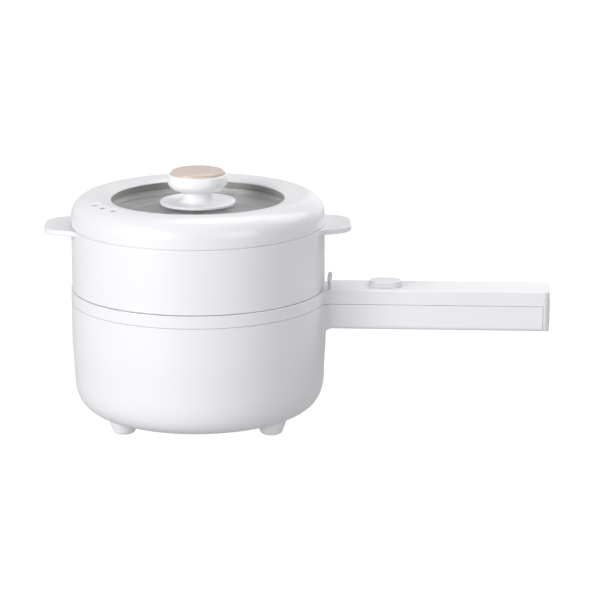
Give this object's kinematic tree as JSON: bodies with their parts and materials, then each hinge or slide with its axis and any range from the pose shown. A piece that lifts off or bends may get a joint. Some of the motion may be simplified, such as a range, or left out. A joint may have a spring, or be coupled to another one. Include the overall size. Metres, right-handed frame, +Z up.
{
  "type": "electric hot pot",
  "caption": "Electric hot pot: round base with a bar handle and push button, a stacked steamer with side grips, and a lift-off glass lid with a mushroom knob.",
  "frame": {"origin": "on the table under the pot's axis", "axes": "+X from the pot along the handle, +Z up"},
  "size_m": [0.4002, 0.2028, 0.2078],
  "materials": {
    "outer_housing": "satin gloss moulded",
    "rim_cover": "satin gloss moulded",
    "lid_stop_lug": "satin moulded",
    "foot_pads": "matt",
    "base_plate": "fine grained",
    "base_screws": "zinc plated",
    "handle_screws": "zinc plated",
    "button_bezel": "gloss moulded",
    "power_button": "gloss moulded",
    "switch_plunger": "moulded",
    "button_switch": "moulded",
    "control_board": "solder resist",
    "board_screws": "zinc plated",
    "power_inlet": "moulded",
    "inlet_pins": "nickel plated",
    "live_lead": "silicone insulation",
    "neutral_lead": "silicone insulation",
    "inner_pot": "non-stick coating",
    "pot_seal": "silicone",
    "heating_plate": "as cast",
    "heating_tube": "heat tinted",
    "tube_terminals": "plain",
    "plate_spacers": "glazed",
    "plate_screws": "zinc plated",
    "heat_shield": "bright",
    "thermostat": "plain",
    "thermostat_bracket": "plain",
    "thermal_fuse": "plain",
    "fuse_clip": "plain",
    "steamer_basket": "satin gloss moulded",
    "lid_ring": "satin gloss moulded",
    "lid_inner_ring": "satin moulded",
    "lid_screws": "stainless",
    "glass_gasket": "matt silicone",
    "lid_glass": "tempered",
    "knob_base": "satin gloss moulded",
    "knob_insert": "turned",
    "knob_grip": "satin gloss moulded",
    "knob_cap": "pearl satin",
    "knob_seal": "translucent silicone",
    "knob_washer": "stainless",
    "knob_screw": "stainless"
  },
  "bodies": {
    "base": {"outer_housing": "outer_housing", "rim_cover": "rim_cover", "lid_stop_lug": "lid_stop_lug", "foot_pads": "foot_pads", "base_plate": "base_plate", "base_screws": "base_screws", "handle_screws": "handle_screws", "button_bezel": "button_bezel", "button_switch": "button_switch", "control_board": "control_board", "board_screws": "board_screws", "power_inlet": "power_inlet", "inlet_pins": "inlet_pins", "live_lead": "live_lead", "neutral_lead": "neutral_lead", "inner_pot": "inner_pot", "pot_seal": "pot_seal", "heating_plate": "heating_plate", "heating_tube": "heating_tube", "tube_terminals": "tube_terminals", "plate_spacers": "plate_spacers", "plate_screws": "plate_screws", "heat_shield": "heat_shield", "thermostat": "thermostat", "thermostat_bracket": "thermostat_bracket", "thermal_fuse": "thermal_fuse", "fuse_clip": "fuse_clip"},
    "button": {"power_button": "power_button", "switch_plunger": "switch_plunger"},
    "steamer": {"steamer_basket": "steamer_basket"},
    "lid": {"lid_ring": "lid_ring", "lid_inner_ring": "lid_inner_ring", "lid_screws": "lid_screws", "glass_gasket": "glass_gasket", "lid_glass": "lid_glass", "knob_base": "knob_base", "knob_insert": "knob_insert", "knob_grip": "knob_grip", "knob_cap": "knob_cap", "knob_seal": "knob_seal", "knob_washer": "knob_washer", "knob_screw": "knob_screw"}
  },
  "joints": [
    {"name": "button_press", "type": "slide", "parent": "base", "child": "button", "axis": [0, 0, -1], "range_m": [0, 0.0012], "stiffness_N_per_m": 400},
    {"name": "steamer_lift", "type": "slide", "parent": "base", "child": "steamer", "axis": [0, 0, 1], "range_m": [0, 0.1]},
    {"name": "lid_lift", "type": "slide", "parent": "steamer", "child": "lid", "axis": [0, 0, 1], "range_m": [0, 0.08]}
  ]
}
